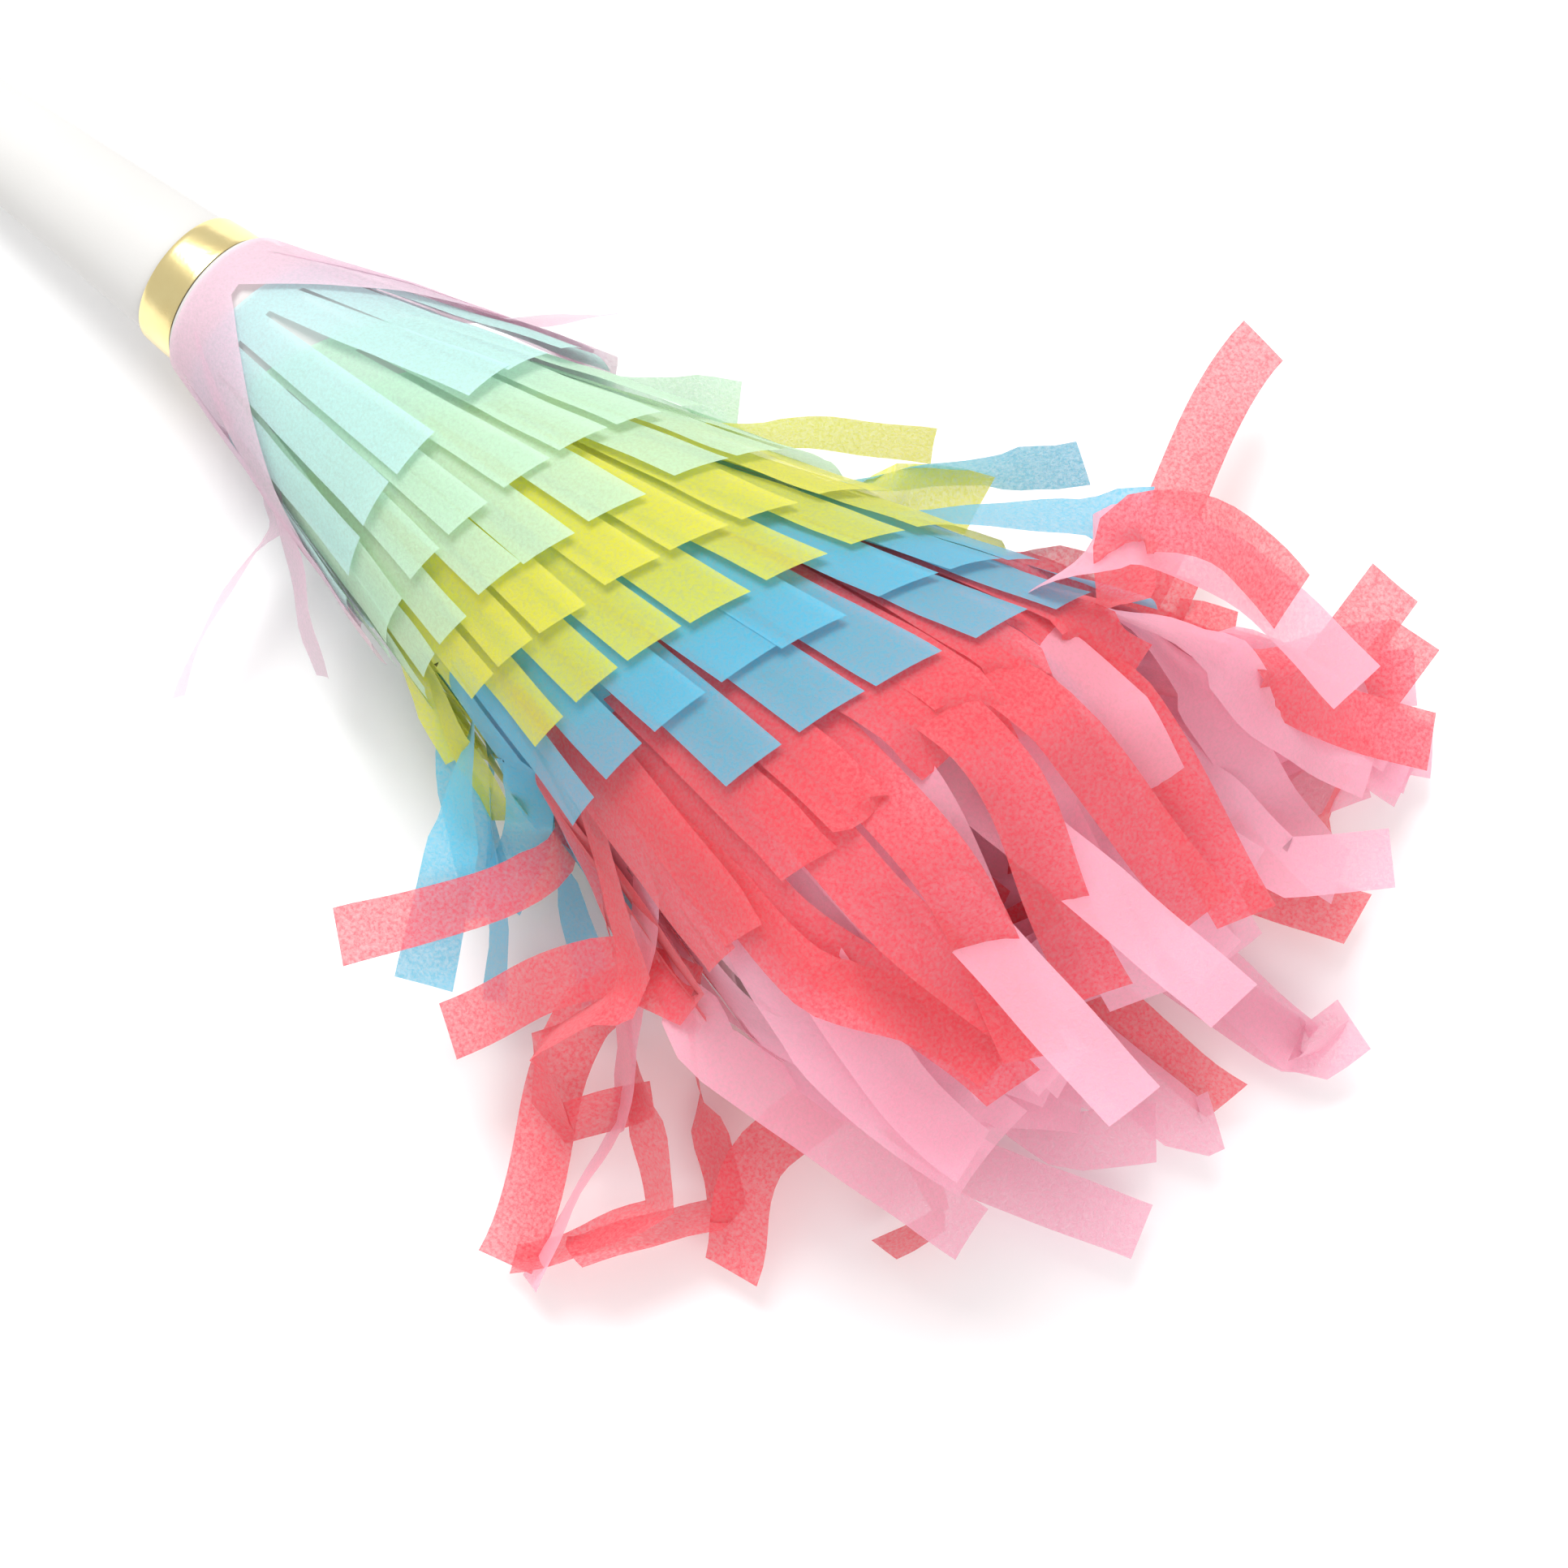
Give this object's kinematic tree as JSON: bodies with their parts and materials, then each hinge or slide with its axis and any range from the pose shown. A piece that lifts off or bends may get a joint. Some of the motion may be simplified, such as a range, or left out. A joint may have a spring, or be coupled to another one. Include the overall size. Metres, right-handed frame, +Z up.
{
  "type": "fringed party horn",
  "caption": "Paper party horn: a tapered card mouth tube with a foil band, and a bell-shaped card cone covered in overlapping rows of coloured tissue fringe.",
  "frame": {"origin": "on the table the horn lies on, below the middle of the whole horn", "axes": "+Z up, +X towards the bell; the horn's own axis climbs 8.35 degrees towards the bell"},
  "size_m": [0.2252, 0.1214, 0.0624],
  "materials": {
    "white_card": "smooth uncoated white card",
    "white_plastic": "moulded, semi-gloss",
    "gold_foil": "gold-lacquered foil",
    "reed_brass": "rolled strip",
    "pale_pink_tissue": "thin tissue paper",
    "aqua_tissue": "thin tissue paper",
    "mint_tissue": "thin tissue paper",
    "yellow_tissue": "thin tissue paper",
    "blue_tissue": "thin tissue paper",
    "coral_tissue": "thin tissue paper",
    "pink_tissue": "thin tissue paper"
  },
  "bodies": {
    "horn": {"mouthpiece": "white_plastic", "reed_holder": "white_plastic", "reed_wedge": "white_plastic", "mouth_tube": "white_card", "gold_band": "gold_foil", "horn_cone": "white_card", "fringe_pale_pink": "pale_pink_tissue", "fringe_aqua": "aqua_tissue", "fringe_mint_upper": "mint_tissue", "fringe_mint_lower": "mint_tissue", "fringe_yellow_upper": "yellow_tissue", "fringe_yellow_lower": "yellow_tissue", "fringe_blue_upper": "blue_tissue", "fringe_blue_lower": "blue_tissue", "fringe_coral_upper": "coral_tissue", "fringe_coral_lower": "coral_tissue", "fringe_pink_upper": "pink_tissue", "fringe_pink_lower": "pink_tissue"},
    "tongue": {"reed_tongue": "reed_brass"}
  },
  "joints": [
    {"name": "tongue_beat", "type": "hinge", "parent": "horn", "child": "tongue", "pos_m": [-0.08824, -0.00191, 0.00926], "axis": [0, 1, 0], "range_deg": [-2, 2], "stiffness_Nm_per_rad": 0.0015}
  ]
}
